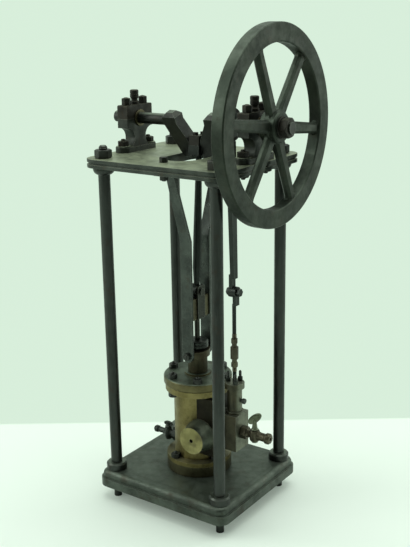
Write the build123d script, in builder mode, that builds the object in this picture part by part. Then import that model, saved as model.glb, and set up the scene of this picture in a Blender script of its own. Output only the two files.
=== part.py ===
"""Model vertical steam engine with an overhead crankshaft, in millimetres.

The origin lies at floor level, midway between the four feet. X runs along the
crankshaft towards the flywheel, Y towards the back and Z up. The crank stands
a little past its lowest point, with the piston near the bottom of its stroke.
"""
from build123d import *
import os
from math import asin, cos, degrees, pi, radians, sin

os.makedirs("parts", exist_ok=True)

# Clearances
running_fit = 0.06
sliding_gap = 0.3
pin_fit = 0.05
hole_clearance = 0.2
swing_gap = 0.5

# Columns, with their feet below the base plate and studs above the top plate
column_spacing_x = 130.0
column_spacing_y = 111.0
column_dia = 11.5
column_collar_dia = 21.0
column_collar_height = 7.5
collar_edge = 1.5
collar_rim = 2.0
bowl_reach = 0.75
bowl_drop = 0.7
foot_dia = 8.0
foot_height = 15.0
stud_dia = 7.6
stud_end_height = 4.0
stud_tip_cut = 1.2
column_nut_flats = 15.0
column_nut_height = 8.0

# Base plate, a slab with a raised and rounded upper step
base_overhang_x = 14.0
base_overhang_y = 15.5
base_corner_r = 11.0
base_edge_height = 9.0
base_step_height = 8.0
base_step_inset = 2.0
base_step_round = 5.0

# Top plate, with two beads round its edge
top_overhang_x = 16.5
top_overhang_y = 14.5
top_corner_r = 15.0
top_thickness = 8.6
top_groove_depth = 1.4
top_groove_width = 2.0
opening_width = 38.0
opening_length = 74.0
rod_slot_width = 9.0
rod_slot_length = 30.0

# Crankshaft
shaft_over_plate = 32.4
shaft_dia = 11.0
shaft_left_end = -93.0
shaft_right_end = 110.0
crank_throw = 25.0
crank_turn = 20.0
crank_pin_dia = 9.0
web_depth = 13.0
web_top_width = 15.5
web_end_width = 9.0
web_spread = 32.0
web_rise = 9.0
web_drop = 11.0
web_shoulder_cut = 4.0
web_top_cut = 3.5
web_seat_rise = 6.0

# Main bearings
left_bearing_x = -70.0
right_bearing_x = 70.0
bearing_thickness = 12.0
pedestal_flange_length = 54.0
pedestal_flange_width = 16.0
pedestal_flange_height = 5.0
pedestal_foot_length = 27.0
pedestal_waist = 17.0
pedestal_head_length = 39.0
pedestal_head_height = 9.0
cap_height = 13.0
cap_corner_r = 1.5
bush_wall = 2.5
bush_lip = 1.5
cap_bolt_spacing = 25.5
flange_bolt_spacing = 39.0
small_bolt_dia = 4.0
small_nut_flats = 7.0
small_nut_height = 3.6
oil_cup_dia = 8.5
oil_cup_height = 14.0
oil_cup_foot = 3.5
oil_cup_neck_dia = 5.0
oil_cup_lid_bottom = 5.5
cap_nut_flats = 8.0
cap_nut_height = 7.5
flange_bolt_dia = 5.0
flange_nut_flats = 9.0
flange_nut_height = 6.0
bolt_end = 2.0

# Flywheel
wheel_dia = 183.3
wheel_rim_width = 12.5
wheel_rim_depth = 17.2
wheel_edge_cut = 1.0
wheel_face_x = 97.0
wheel_turn = -7.0
hub_dia = 29.0
hub_length = 17.0
hub_edge_cut = 1.5
spoke_count = 6
spoke_root_width = 12.5
spoke_tip_width = 9.5
spoke_thickness = 8.0
spoke_edge_cut = 2.4
spoke_lap = 1.5
window_root_r = 3.5
window_rim_r = 5.0
shaft_nut_flats = 17.0
shaft_nut_height = 9.0

# Eccentric and valve gear
eccentric_throw = 4.0
sheave_dia = 23.0
sheave_thickness = 8.0
strap_wall = 4.0
strap_thickness = 6.0
strap_lug_length = 9.0
eye_rise = 34.5
eye_dia = 11.0
eye_thickness = 4.0
eye_bolt_head = 3.0
eccentric_rod_thickness = 5.0
eccentric_rod_top_width = 10.0
eccentric_rod_end_width = 6.0
spindle_dia = 4.0
spindle_lap = 1.0
coupling_rise = 16.0
coupling_length = 30.0
coupling_dia = 8.2
coupling_end_dia = 6.9
coupling_waist_dia = 5.6
coupling_end_length = 5.0
coupling_neck_length = 3.5
coupling_edge = 1.0

# Connecting rod and crosshead
engine_x = 1.5
rod_length = 145.0
rod_top_dia = 5.8
rod_belly_dia = 8.4
rod_foot_dia = 6.0
rod_belly_top = 54.0
rod_belly_bottom = 24.0
big_end_width = 12.0
big_end_depth = 18.0
big_end_height = 19.0
big_end_bolt_spacing = 12.0
small_end_dia = 12.0
small_end_width = 6.0
big_end_nut_flats = 5.0
big_end_nut_height = 3.0
gudgeon_dia = 5.0
crosshead_width = 12.0
crosshead_depth = 12.0
gudgeon_head_dia = 7.0
gudgeon_head_height = 1.5
slipper_width = 9.0
slipper_height = 22.0
crosshead_top = 6.5
crosshead_drop = 28.0
rod_socket = 10.0
piston_rod_dia = 5.5
crosshead_clearance = 21.6

# Guide bars
guide_inner_gap = 28.8
guide_thickness = 3.0
guide_width = 12.0
guide_top_width = 9.0
guide_bend_drop = 73.0
guide_foot_reach = 48.0
guide_foot_length = 19.0
guide_end_drop = 3.0
guide_bend_lap = 2.0
guide_nut_flats = 8.0
guide_nut_height = 5.0
guide_bolt_end = 1.0
flange_bolt_head = 3.5

# Cylinder
barrel_dia = 50.0
barrel_wall = 6.0
cylinder_flange_reach = 8.5
cylinder_flange_height = 6.7
base_ring_height = 11.0
base_flange_height = 4.5
barrel_height = 71.5
cover_reach = 10.0
cover_height = 8.7
cover_edge_cut = 1.2
cover_groove = 0.7
cover_boss_dia = 27.0
cover_boss_height = 2.0
cover_nut_count = 6
cover_bolt_reach = 4.3
cover_nut_turn = 5.0
cover_nut_flats = 8.5
cover_nut_height = 4.6
foot_nut_count = 4
foot_nut_turn = -20.0
neck_dia = 20.0
neck_height = 17.0
gland_flange_width = 24.0
gland_flange_height = 7.0
gland_dia = 22.0
gland_height = 10.0
gland_neck_dia = 14.0
gland_neck_height = 2.5
piston_thickness = 14.0
bottom_clearance = 6.0

# Port block, steam stub and valve chest
port_block_width = 43.0
port_block_gap = 1.0
port_block_drop = 2.0
stub_x = 19.0
stub_height = 45.0
stub_dia = 28.0
stub_flare_dia = 35.0
stub_lip = 4.0
stub_length = 38.0
stub_hole_dia = 4.0
stub_hole_depth = 5.0
chest_face_reach = 8.7
chest_block_width = 23.0
chest_block_length = 22.0
chest_block_bottom = 31.5
chest_block_height = 38.0
chest_boss_dia = 18.0
chest_boss_height = 2.5
chest_neck_dia = 15.0
chest_cover_rise = 9.0
chest_cover_dia = 20.0
chest_cover_height = 6.0
valve_bore_dia = 9.0
valve_length = 24.0
cover_stud_count = 3
cover_stud_circle = 14.0
cover_stud_dia = 3.0
cover_stud_height = 11.0
cover_stud_nut_flats = 4.5
cover_stud_nut_height = 4.0
cover_stud_turn = 70.0
chest_floor = 6.0

# Drain cocks
right_cock_height = 50.0
right_cock_length = 33.5
right_wing_length = 17.0
right_wing_tilt = 34.0
right_wing_rise = 12.0
left_cock_height = 25.0
left_cock_length = 33.0
left_wing_length = 11.0
left_wing_tilt = 0.0
left_wing_rise = 4.5
cock_pipe_dia = 6.5
cock_boss_flats = 12.0
cock_boss_length = 7.0
cock_plug_reach = 15.0
cock_tail = 2.5
cock_tail_dia = 7.0
cock_body_dia = 11.0
cock_plug_dia = 5.0
nozzle_dia = 9.5
nozzle_length = 6.0
nozzle_edge = 1.2
nozzle_bore = 3.0
nozzle_bore_depth = 4.0
wing_height = 6.5
wing_thickness = 2.4

# Levels and places that follow from the sizes above
base_bottom = foot_height
base_edge_top = base_bottom + base_edge_height
base_top = base_edge_top + base_step_height
flange_bottom = base_top + base_ring_height
barrel_bottom = flange_bottom + base_flange_height
barrel_top = barrel_bottom + barrel_height
cover_bottom = barrel_top + cylinder_flange_height
cover_top = cover_bottom + cover_height
neck_bottom = cover_top + cover_boss_height
neck_top = neck_bottom + neck_height
gland_flange_top = neck_top + gland_flange_height
gland_top = gland_flange_top + gland_height
lowest_gudgeon_z = gland_top + crosshead_clearance + crosshead_drop
shaft_z = lowest_gudgeon_z + rod_length + crank_throw
top_top = shaft_z - shaft_over_plate
top_bottom = top_top - top_thickness
shaft_r = shaft_dia / 2
pin_y = crank_throw * sin(radians(crank_turn))
pin_z = shaft_z - crank_throw * cos(radians(crank_turn))
rod_lean = degrees(asin(pin_y / rod_length))
gudgeon_z = pin_z - rod_length * cos(radians(rod_lean))
piston_lift = gudgeon_z - lowest_gudgeon_z
shaft_axis = Axis((0, 0, shaft_z), (1, 0, 0))
gudgeon_axis = Axis((0, 0, gudgeon_z), (1, 0, 0))
bore_dia = barrel_dia - 2 * barrel_wall
cylinder_flange_dia = barrel_dia + 2 * cylinder_flange_reach
cover_dia = barrel_dia + 2 * cover_reach
cover_bolt_circle = barrel_dia + 2 * cover_bolt_reach
valve_x = engine_x + (cover_dia + chest_cover_dia) / 2
web_gap = big_end_width + 2 * swing_gap
guide_inner_y = guide_inner_gap / 2
guide_outer_y = guide_inner_y + guide_thickness
guide_bottom = neck_top - guide_end_drop
guide_bend = top_bottom - guide_bend_drop
column_places = [
    ("front_left", -column_spacing_x / 2, -column_spacing_y / 2),
    ("front_right", column_spacing_x / 2, -column_spacing_y / 2),
    ("back_right", column_spacing_x / 2, column_spacing_y / 2),
    ("back_left", -column_spacing_x / 2, column_spacing_y / 2),
]
column_points = [(x, y) for name, x, y in column_places]


def save(name, part):
    """Label one finished piece and write it to its own file."""
    part.label = name
    export_step(part, "parts/" + name + ".step")


def edge_layer(length, width, corner_r, inset, bottom, height):
    """Add one layer of a plate with a moulded edge and rounded corners."""
    with BuildSketch(Plane.XY.offset(bottom)) as layer:
        RectangleRounded(length - 2 * inset, width - 2 * inset, corner_r - inset)
    extrude(layer.sketch, amount=height)


def upright(x, y, bottom, dia, height, mode=Mode.ADD):
    """Add or cut one vertical round bar that stands on a given level."""
    with BuildSketch(Plane((x, y, bottom))) as section:
        Circle(dia / 2)
    extrude(section.sketch, amount=height, mode=mode)


def hex_nut(x, y, bottom, flats, hole, height, turn=0):
    """Add one upright hexagon nut or bolt head, turned by some degrees."""
    with BuildSketch(Plane((x, y, bottom))) as section:
        RegularPolygon(flats / 2, 6, major_radius=False, rotation=turn)
        if hole:
            Circle(hole / 2, mode=Mode.SUBTRACT)
    extrude(section.sketch, amount=height)


def along_x(x, y, z, dia, length, mode=Mode.ADD):
    """Add or cut one round bar that runs from x towards +X."""
    with BuildSketch(Plane((x, y, z), x_dir=(0, 1, 0), z_dir=(1, 0, 0))) as section:
        Circle(dia / 2)
    extrude(section.sketch, amount=length, mode=mode)


# Base plate: a flat slab with a raised step that is rounded at its top edge
base_length = column_spacing_x + 2 * base_overhang_x
base_width = column_spacing_y + 2 * base_overhang_y
with BuildPart() as base_plate:
    edge_layer(base_length, base_width, base_corner_r, 0, base_bottom, base_edge_height)
    edge_layer(
        base_length, base_width, base_corner_r, base_step_inset, base_edge_top, base_step_height
    )
    fillet(base_plate.faces().sort_by(Axis.Z)[-1].outer_wire().edges(), base_step_round)
    for x, y in column_points:
        upright(x, y, base_bottom, stud_dia + hole_clearance, base_top, Mode.SUBTRACT)
save("base_plate", base_plate.part)

# Columns: foot, lower collar, shaft, bowl-shaped upper collar and stud in one turning
collar_r = column_collar_dia / 2
column_r = column_dia / 2
foot_r = foot_dia / 2
stud_r = stud_dia / 2
stud_top = top_top + column_nut_height + stud_end_height
for name, x, y in column_places:
    with BuildPart() as column:
        with BuildSketch(Plane((x, y, 0), x_dir=(1, 0, 0), z_dir=(0, -1, 0))):
            with BuildLine():
                Polyline(
                    (0, stud_top), (0, 0), (foot_r, 0), (foot_r, base_bottom),
                    (stud_r, base_bottom), (stud_r, base_top),
                    (collar_r, base_top), (collar_r, base_top + column_collar_height - collar_edge),
                    (collar_r - collar_edge, base_top + column_collar_height),
                    (column_r, base_top + column_collar_height),
                    (column_r, top_bottom - column_collar_height),
                )
                bowl = ThreePointArc(
                    (column_r, top_bottom - column_collar_height),
                    (
                        column_r + bowl_reach * (collar_r - column_r),
                        top_bottom - bowl_drop * column_collar_height,
                    ),
                    (collar_r, top_bottom - collar_rim),
                )
                Polyline(
                    bowl @ 1, (collar_r, top_bottom), (stud_r, top_bottom),
                    (stud_r, stud_top - stud_tip_cut), (stud_r - stud_tip_cut, stud_top),
                    (0, stud_top),
                )
            make_face()
        revolve(axis=Axis((x, y, 0), (0, 0, 1)))
    save(name + "_column", column.part)

# Column nuts on the top plate
with BuildPart() as column_nuts:
    for x, y in column_points:
        hex_nut(x, y, top_top, column_nut_flats, stud_dia + hole_clearance, column_nut_height)
save("column_nuts", column_nuts.part)

# Top plate: two beads with a groove between, and a long opening over the crosshead
top_bead = (top_thickness - top_groove_width) / 2
top_length = column_spacing_x + 2 * top_overhang_x
top_width = column_spacing_y + 2 * top_overhang_y
with BuildPart() as top_plate:
    edge_layer(top_length, top_width, top_corner_r, 0, top_bottom, top_bead)
    edge_layer(
        top_length, top_width, top_corner_r, top_groove_depth, top_bottom + top_bead,
        top_groove_width,
    )
    edge_layer(top_length, top_width, top_corner_r, 0, top_top - top_bead, top_bead)
    with BuildSketch(Plane((engine_x, 0, top_bottom))):
        SlotOverall(opening_length, opening_width, rotation=90)
    extrude(amount=top_thickness, mode=Mode.SUBTRACT)
    for x, y in column_points:
        upright(x, y, top_bottom, stud_dia + hole_clearance, top_thickness, Mode.SUBTRACT)
    for bearing_x in (left_bearing_x, right_bearing_x):
        for y in (-flange_bolt_spacing / 2, flange_bolt_spacing / 2):
            upright(
                bearing_x, y, top_bottom, flange_bolt_dia + hole_clearance, top_thickness,
                Mode.SUBTRACT,
            )
    for y in (-guide_foot_reach, guide_foot_reach):
        upright(
            engine_x, y, top_bottom, small_bolt_dia + hole_clearance, top_thickness, Mode.SUBTRACT
        )
    with BuildSketch(Plane((valve_x, 0, top_bottom))):
        SlotOverall(rod_slot_length, rod_slot_width, rotation=90)
    extrude(amount=top_thickness, mode=Mode.SUBTRACT)
save("top_plate", top_plate.part)

# Main bearings: waisted pedestal and cap on each side
bush_r = shaft_r + running_fit + bush_wall
head_bottom = shaft_z - pedestal_head_height
cap_top = shaft_z + cap_height
flange_top = top_top + pedestal_flange_height
bearings = (("left", left_bearing_x), ("right", right_bearing_x))
cap_bolt_ys = (-cap_bolt_spacing / 2, cap_bolt_spacing / 2)
flange_bolt_ys = (-flange_bolt_spacing / 2, flange_bolt_spacing / 2)
cap_bolt_hole = small_bolt_dia + hole_clearance
for side, bearing_x in bearings:
    inner_x = bearing_x - bearing_thickness / 2
    with BuildPart() as pedestal:
        with BuildSketch(Plane((inner_x, 0, 0), x_dir=(0, 1, 0), z_dir=(1, 0, 0))):
            with BuildLine():
                foot_half = pedestal_foot_length / 2
                head_half = pedestal_head_length / 2
                waist_z = (flange_top + head_bottom) / 2
                right_edge = ThreePointArc(
                    (foot_half, flange_top), (pedestal_waist / 2, waist_z), (head_half, head_bottom)
                )
                left_edge = ThreePointArc(
                    (-foot_half, flange_top), (-pedestal_waist / 2, waist_z), (-head_half, head_bottom)
                )
                Polyline(right_edge @ 1, (head_half, shaft_z), (-head_half, shaft_z), left_edge @ 1)
                Line(right_edge @ 0, left_edge @ 0)
            make_face()
        extrude(amount=bearing_thickness)
        with BuildSketch(Plane((bearing_x, 0, top_top))):
            SlotOverall(pedestal_flange_length, pedestal_flange_width, rotation=90)
        extrude(amount=pedestal_flange_height)
        along_x(inner_x, 0, shaft_z, 2 * bush_r, bearing_thickness, Mode.SUBTRACT)
        for y in flange_bolt_ys:
            upright(
                bearing_x, y, top_top, flange_bolt_dia + hole_clearance, pedestal_flange_height,
                Mode.SUBTRACT,
            )
        for y in cap_bolt_ys:
            upright(bearing_x, y, head_bottom, cap_bolt_hole, pedestal_head_height, Mode.SUBTRACT)
    save(side + "_pedestal", pedestal.part)

    with BuildPart() as cap:
        with BuildSketch(Plane((inner_x, 0, shaft_z), x_dir=(0, 1, 0), z_dir=(1, 0, 0))):
            with Locations((0, cap_height / 2)):
                Rectangle(pedestal_head_length, cap_height)
        extrude(amount=bearing_thickness)
        fillet(cap.edges().filter_by(Axis.X).group_by(Axis.Z)[-1], cap_corner_r)
        along_x(inner_x, 0, shaft_z, 2 * bush_r, bearing_thickness, Mode.SUBTRACT)
        for y in cap_bolt_ys:
            upright(bearing_x, y, shaft_z, cap_bolt_hole, cap_height, Mode.SUBTRACT)
    save(side + "_bearing_cap", cap.part)

# Bushes, one in each bearing, with a lip on both sides
with BuildPart() as bearing_bushes:
    for side, bearing_x in bearings:
        with BuildSketch(
            Plane(
                (bearing_x - bearing_thickness / 2 - bush_lip, 0, shaft_z),
                x_dir=(0, 1, 0), z_dir=(1, 0, 0),
            )
        ):
            Circle(bush_r)
            Circle(shaft_r + running_fit, mode=Mode.SUBTRACT)
        extrude(amount=bearing_thickness + 2 * bush_lip)
save("bearing_bushes", bearing_bushes.part)

# Cap bolts, flange bolts and a lidded oil cup on each bearing
with BuildPart() as bearing_bolts:
    for side, bearing_x in bearings:
        for y in cap_bolt_ys:
            upright(bearing_x, y, head_bottom, small_bolt_dia, cap_top - head_bottom)
            hex_nut(bearing_x, y, cap_top, cap_nut_flats, 0, cap_nut_height)
        for y in flange_bolt_ys:
            lower_nut = top_bottom - small_nut_height
            upright(
                bearing_x, y, lower_nut - bolt_end, flange_bolt_dia, flange_top - lower_nut + bolt_end
            )
            hex_nut(bearing_x, y, flange_top, flange_nut_flats, 0, flange_nut_height)
            upright(bearing_x, y, flange_top + flange_nut_height, flange_bolt_dia, bolt_end)
            hex_nut(bearing_x, y, lower_nut, flange_nut_flats, 0, small_nut_height)
        upright(bearing_x, 0, cap_top, oil_cup_dia, oil_cup_foot)
        upright(bearing_x, 0, cap_top, oil_cup_neck_dia, oil_cup_height)
        lid_height = oil_cup_height - oil_cup_lid_bottom
        upright(bearing_x, 0, cap_top + oil_cup_lid_bottom, oil_cup_dia, lid_height)
save("bearing_bolts", bearing_bolts.part)

# Crankshaft: two journals and two slanted webs that draw in to the crank pin,
# drawn with the crank at its lowest point and then turned to where it stands
web_inner = web_gap / 2
web_foot = shaft_z - crank_throw - web_drop
web_top = shaft_z + web_rise
web_seat = shaft_z - crank_throw + web_seat_rise
with BuildPart() as crankshaft:
    with BuildSketch(Plane((engine_x, web_depth / 2, 0), x_dir=(1, 0, 0), z_dir=(0, -1, 0))):
        for hand in (-1, 1):
            with BuildLine():
                Polyline(
                    (hand * web_inner, web_foot),
                    (hand * web_inner, web_seat),
                    (hand * (web_spread - web_top_width), shaft_z),
                    (hand * (web_spread - web_top_width), web_top - web_shoulder_cut),
                    (hand * (web_spread - web_top_width + web_shoulder_cut), web_top),
                    (hand * (web_spread - web_shoulder_cut), web_top),
                    (hand * web_spread, web_top - web_shoulder_cut),
                    (hand * web_spread, shaft_z),
                    (hand * (web_inner + web_end_width), web_foot),
                    close=True,
                )
            make_face()
    extrude(amount=web_depth)
    chamfer(crankshaft.edges().filter_by(Axis.X).group_by(Axis.Z)[-1], web_top_cut)
    left_length = engine_x - web_spread + web_top_width / 2 - shaft_left_end
    along_x(shaft_left_end, 0, shaft_z, shaft_dia, left_length)
    right_start = engine_x + web_spread - web_top_width / 2
    along_x(right_start, 0, shaft_z, shaft_dia, shaft_right_end - right_start)
save("crankshaft", crankshaft.part.rotate(shaft_axis, crank_turn))

# Flywheel: rim, six flared spokes with rounded edges, and hub
wheel_r = wheel_dia / 2
rim_inner_r = wheel_r - wheel_rim_depth
rim_x = wheel_face_x - wheel_rim_width
rim_middle_x = wheel_face_x - wheel_rim_width / 2
hub_x = rim_middle_x - hub_length / 2
spoke_x = rim_middle_x - spoke_thickness / 2


def ring_section(inner_r, outer_r, left_x, right_x, cut):
    """Draw half of a ring's section, with its four edges cut, and turn it about the shaft."""
    with BuildSketch(Plane.XZ) as section:
        with Locations(((left_x + right_x) / 2, shaft_z + (inner_r + outer_r) / 2)):
            Rectangle(right_x - left_x, outer_r - inner_r)
        chamfer(section.vertices(), cut)
    revolve(section.sketch, axis=shaft_axis)


with BuildPart() as flywheel:
    along_x(spoke_x, 0, shaft_z, rim_inner_r + wheel_r, spoke_thickness)
    with BuildSketch(
        Plane((spoke_x, 0, shaft_z), x_dir=(0, 1, 0), z_dir=(1, 0, 0))
    ) as windows:
        Circle(rim_inner_r + spoke_lap)
        for number in range(spoke_count):
            Polygon(
                (0, -spoke_root_width / 2), (wheel_r, -spoke_tip_width / 2),
                (wheel_r, spoke_tip_width / 2), (0, spoke_root_width / 2),
                rotation=wheel_turn + 360 / spoke_count * number, align=None, mode=Mode.SUBTRACT,
            )
        fillet(windows.vertices().group_by(SortBy.DISTANCE)[-1], window_rim_r)
        fillet(windows.vertices().group_by(SortBy.DISTANCE)[0], window_root_r)
    extrude(windows.sketch, amount=spoke_thickness, mode=Mode.SUBTRACT)
    sides = flywheel.edges().group_by(Axis.X)
    window_edges = (sides[0] + sides[-1]).filter_by(lambda edge: edge.length < pi * rim_inner_r)
    chamfer(window_edges, spoke_edge_cut)
    ring_section(rim_inner_r, wheel_r, rim_x, wheel_face_x, wheel_edge_cut)
    ring_section(shaft_r, hub_dia / 2, hub_x, hub_x + hub_length, hub_edge_cut)
    along_x(hub_x, 0, shaft_z, shaft_dia + pin_fit, hub_length, Mode.SUBTRACT)
save("flywheel", flywheel.part)

# Nut that holds the flywheel against its shaft
with BuildPart() as flywheel_nut:
    with BuildSketch(
        Plane((hub_x + hub_length, 0, shaft_z), x_dir=(0, 1, 0), z_dir=(1, 0, 0))
    ):
        RegularPolygon(shaft_nut_flats / 2, 6, major_radius=False)
        Circle(shaft_r + pin_fit, mode=Mode.SUBTRACT)
    extrude(amount=shaft_nut_height)
save("flywheel_nut", flywheel_nut.part)

# Eccentric: sheave keyed to the shaft, strap and forked rod around it
sheave_y = -eccentric_throw
strap_outer_r = sheave_dia / 2 + running_fit + strap_wall
with BuildPart() as eccentric_sheave:
    along_x(valve_x - sheave_thickness / 2, sheave_y, shaft_z, sheave_dia, sheave_thickness)
    along_x(
        valve_x - sheave_thickness / 2, 0, shaft_z, shaft_dia + pin_fit, sheave_thickness,
        Mode.SUBTRACT,
    )
save("eccentric_sheave", eccentric_sheave.part)

strap_x = valve_x - strap_thickness / 2
with BuildPart() as eccentric_strap:
    with BuildSketch(Plane((strap_x, sheave_y, shaft_z), x_dir=(0, 1, 0), z_dir=(1, 0, 0))):
        Circle(strap_outer_r)
        Rectangle(2 * (strap_outer_r + strap_lug_length / 2), strap_lug_length)
        Circle(sheave_dia / 2 + running_fit, mode=Mode.SUBTRACT)
    extrude(amount=strap_thickness)
save("eccentric_strap", eccentric_strap.part)

chest_block_base = base_top + chest_block_bottom
chest_block_top = chest_block_base + chest_block_height
chest_boss_top = chest_block_top + chest_boss_height
chest_neck_top = barrel_top + chest_cover_rise
chest_cover_top = chest_neck_top + chest_cover_height
coupling_bottom = chest_cover_top + coupling_rise
coupling_top = coupling_bottom + coupling_length
eye_r = eye_dia / 2
spindle_eye_bottom = coupling_top + eye_rise
eye_height = spindle_eye_bottom + eye_r + 2 * eccentric_throw
lap_gap = sliding_gap / 2
tongue_top = eye_height + eye_r + 2 * eccentric_throw
tongue_end = tongue_top + eye_thickness
rod_x = valve_x - eccentric_rod_thickness / 2
with BuildPart() as eccentric_rod:
    with BuildSketch(Plane((rod_x, 0, 0), x_dir=(0, 1, 0), z_dir=(1, 0, 0))):
        with BuildLine():
            Polyline(
                (sheave_y - eccentric_rod_top_width / 2, shaft_z - strap_outer_r),
                (sheave_y + eccentric_rod_top_width / 2, shaft_z - strap_outer_r),
                (eccentric_rod_end_width / 2, tongue_top),
                (-eccentric_rod_end_width / 2, tongue_top),
                close=True,
            )
        make_face()
    extrude(amount=eccentric_rod_thickness)
    tongue_x = valve_x - lap_gap - eye_thickness
    with BuildSketch(Plane((tongue_x, 0, 0), x_dir=(0, 1, 0), z_dir=(1, 0, 0))):
        with Locations((0, eye_height)):
            Circle(eye_r)
        with Locations((0, (eye_height + tongue_end) / 2)):
            Rectangle(eccentric_rod_end_width, tongue_end - eye_height)
    extrude(amount=eye_thickness)
    with BuildSketch(
        Plane((tongue_x - eye_bolt_head, 0, eye_height), x_dir=(0, 1, 0), z_dir=(1, 0, 0))
    ):
        RegularPolygon(small_nut_flats / 2, 6, major_radius=False)
    extrude(amount=eye_bolt_head)
save("eccentric_rod", eccentric_rod.part)

# Valve spindle: flat eye beside the eccentric rod's, round rod and piston valve
valve_bore_bottom = chest_block_base + chest_floor
valve_low = valve_bore_bottom + 2 * eccentric_throw
with BuildPart() as valve_spindle:
    with BuildSketch(Plane((valve_x + lap_gap, 0, 0), x_dir=(0, 1, 0), z_dir=(1, 0, 0))):
        with Locations((0, eye_height)):
            Circle(eye_r)
        with Locations((0, (eye_height + spindle_eye_bottom) / 2)):
            Rectangle(eccentric_rod_end_width, eye_height - spindle_eye_bottom)
    extrude(amount=eye_thickness)
    with BuildSketch(
        Plane((valve_x + lap_gap + eye_thickness, 0, eye_height), x_dir=(0, 1, 0), z_dir=(1, 0, 0))
    ):
        RegularPolygon(small_nut_flats / 2, 6, major_radius=False)
    extrude(amount=small_nut_height)
    upright(valve_x, 0, valve_low, spindle_dia, spindle_eye_bottom + spindle_lap - valve_low)
    upright(valve_x, 0, valve_low, valve_bore_dia - 2 * running_fit, valve_length)
save("valve_spindle", valve_spindle.part)

# Adjusting coupling on the spindle: a bulged nut between two collars
with BuildPart() as valve_coupling:
    with BuildSketch(Plane((valve_x, 0, 0), x_dir=(1, 0, 0), z_dir=(0, -1, 0))):
        with BuildLine():
            inner = (spindle_dia + pin_fit) / 2
            end_r = coupling_end_dia / 2
            waist_r = coupling_waist_dia / 2
            bulge_r = coupling_dia / 2
            lower_neck = coupling_bottom + coupling_end_length
            upper_neck = coupling_top - coupling_end_length
            bulge_bottom = lower_neck + coupling_neck_length
            bulge_top = upper_neck - coupling_neck_length
            Polyline(
                (inner, coupling_top), (inner, coupling_bottom), (end_r - coupling_edge, coupling_bottom),
                (end_r, coupling_bottom + coupling_edge), (end_r, lower_neck - coupling_edge),
                (waist_r, lower_neck), (waist_r, bulge_bottom), (bulge_r, bulge_bottom + coupling_edge),
                (bulge_r, bulge_top - coupling_edge), (waist_r, bulge_top), (waist_r, upper_neck),
                (end_r, upper_neck + coupling_edge), (end_r, coupling_top - coupling_edge),
                (end_r - coupling_edge, coupling_top), close=True,
            )
        make_face()
    revolve(axis=Axis((valve_x, 0, 0), (0, 0, 1)))
save("valve_coupling", valve_coupling.part)

# Crosshead: a polished fork for the rod's small end, with its gudgeon pin
crosshead_bottom = gudgeon_z - crosshead_drop
slot_bottom = gudgeon_z - small_end_dia / 2 - swing_gap
with BuildPart() as crosshead:
    with BuildSketch(Plane((engine_x, 0, crosshead_bottom))):
        Rectangle(crosshead_width, crosshead_depth)
    extrude(amount=crosshead_drop + crosshead_top)
    with BuildSketch(Plane((engine_x, 0, slot_bottom))):
        Rectangle(small_end_width + 2 * sliding_gap, crosshead_depth)
    extrude(amount=gudgeon_z + crosshead_top - slot_bottom, mode=Mode.SUBTRACT)
    fillet(crosshead.edges().filter_by(Axis.X).group_by(Axis.Z)[-1], crosshead_top / 2)
    along_x(engine_x - crosshead_width / 2, 0, gudgeon_z, gudgeon_dia, crosshead_width)
    along_x(
        engine_x - crosshead_width / 2 - gudgeon_head_height, 0, gudgeon_z, gudgeon_head_dia,
        gudgeon_head_height,
    )
    along_x(
        engine_x + crosshead_width / 2, 0, gudgeon_z, gudgeon_head_dia, gudgeon_head_height
    )
    upright(engine_x, 0, crosshead_bottom, piston_rod_dia + pin_fit, rod_socket, Mode.SUBTRACT)
save("crosshead", crosshead.part)

# Slippers on the crosshead, which run between the guide bars
slipper_y = guide_inner_y - sliding_gap
with BuildPart() as crosshead_slippers:
    for hand in (-1, 1):
        middle_y = hand * (crosshead_depth / 2 + slipper_y) / 2
        with BuildSketch(Plane((engine_x, middle_y, crosshead_bottom))):
            Rectangle(slipper_width, slipper_y - crosshead_depth / 2)
        extrude(amount=slipper_height)
save("crosshead_slippers", crosshead_slippers.part)

# Piston rod and piston
piston_bottom = barrel_bottom + bottom_clearance + piston_lift
with BuildPart() as piston_rod:
    upright(
        engine_x, 0, piston_bottom, piston_rod_dia, crosshead_bottom + rod_socket - piston_bottom
    )
save("piston_rod", piston_rod.part)

with BuildPart() as piston:
    upright(engine_x, 0, piston_bottom, bore_dia - 2 * running_fit, piston_thickness)
    upright(
        engine_x, 0, piston_bottom, piston_rod_dia + pin_fit, piston_thickness, Mode.SUBTRACT
    )
save("piston", piston.part)

# Connecting rod: forged eye, bellied round shank and the lower half of the big end,
# drawn upright over the gudgeon pin and then leaned to where the crank pin stands
big_half = big_end_height / 2
big_end_z = gudgeon_z + rod_length
with BuildPart() as connecting_rod:
    along_x(
        engine_x - small_end_width / 2, 0, gudgeon_z, small_end_dia, small_end_width
    )
    with BuildSketch(Plane((engine_x, 0, 0), x_dir=(1, 0, 0), z_dir=(0, -1, 0))):
        with BuildLine():
            Polyline(
                (0, gudgeon_z), (rod_foot_dia / 2, gudgeon_z),
                (rod_foot_dia / 2, gudgeon_z + small_end_dia / 2),
                (rod_belly_dia / 2, gudgeon_z + rod_belly_bottom),
                (rod_belly_dia / 2, gudgeon_z + rod_belly_top),
                (rod_top_dia / 2, big_end_z - big_half), (0, big_end_z - big_half), close=True,
            )
        make_face()
    revolve(axis=Axis((engine_x, 0, 0), (0, 0, 1)))
    with BuildSketch(Plane((engine_x, 0, big_end_z - big_half))):
        Rectangle(big_end_width, big_end_depth)
    extrude(amount=big_half)
    along_x(
        engine_x - small_end_width / 2, 0, gudgeon_z, gudgeon_dia + 2 * running_fit,
        small_end_width, Mode.SUBTRACT,
    )
    along_x(
        engine_x - big_end_width / 2, 0, big_end_z, crank_pin_dia + 2 * pin_fit, big_end_width,
        Mode.SUBTRACT,
    )
save("connecting_rod", connecting_rod.part.rotate(gudgeon_axis, -rod_lean))

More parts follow.
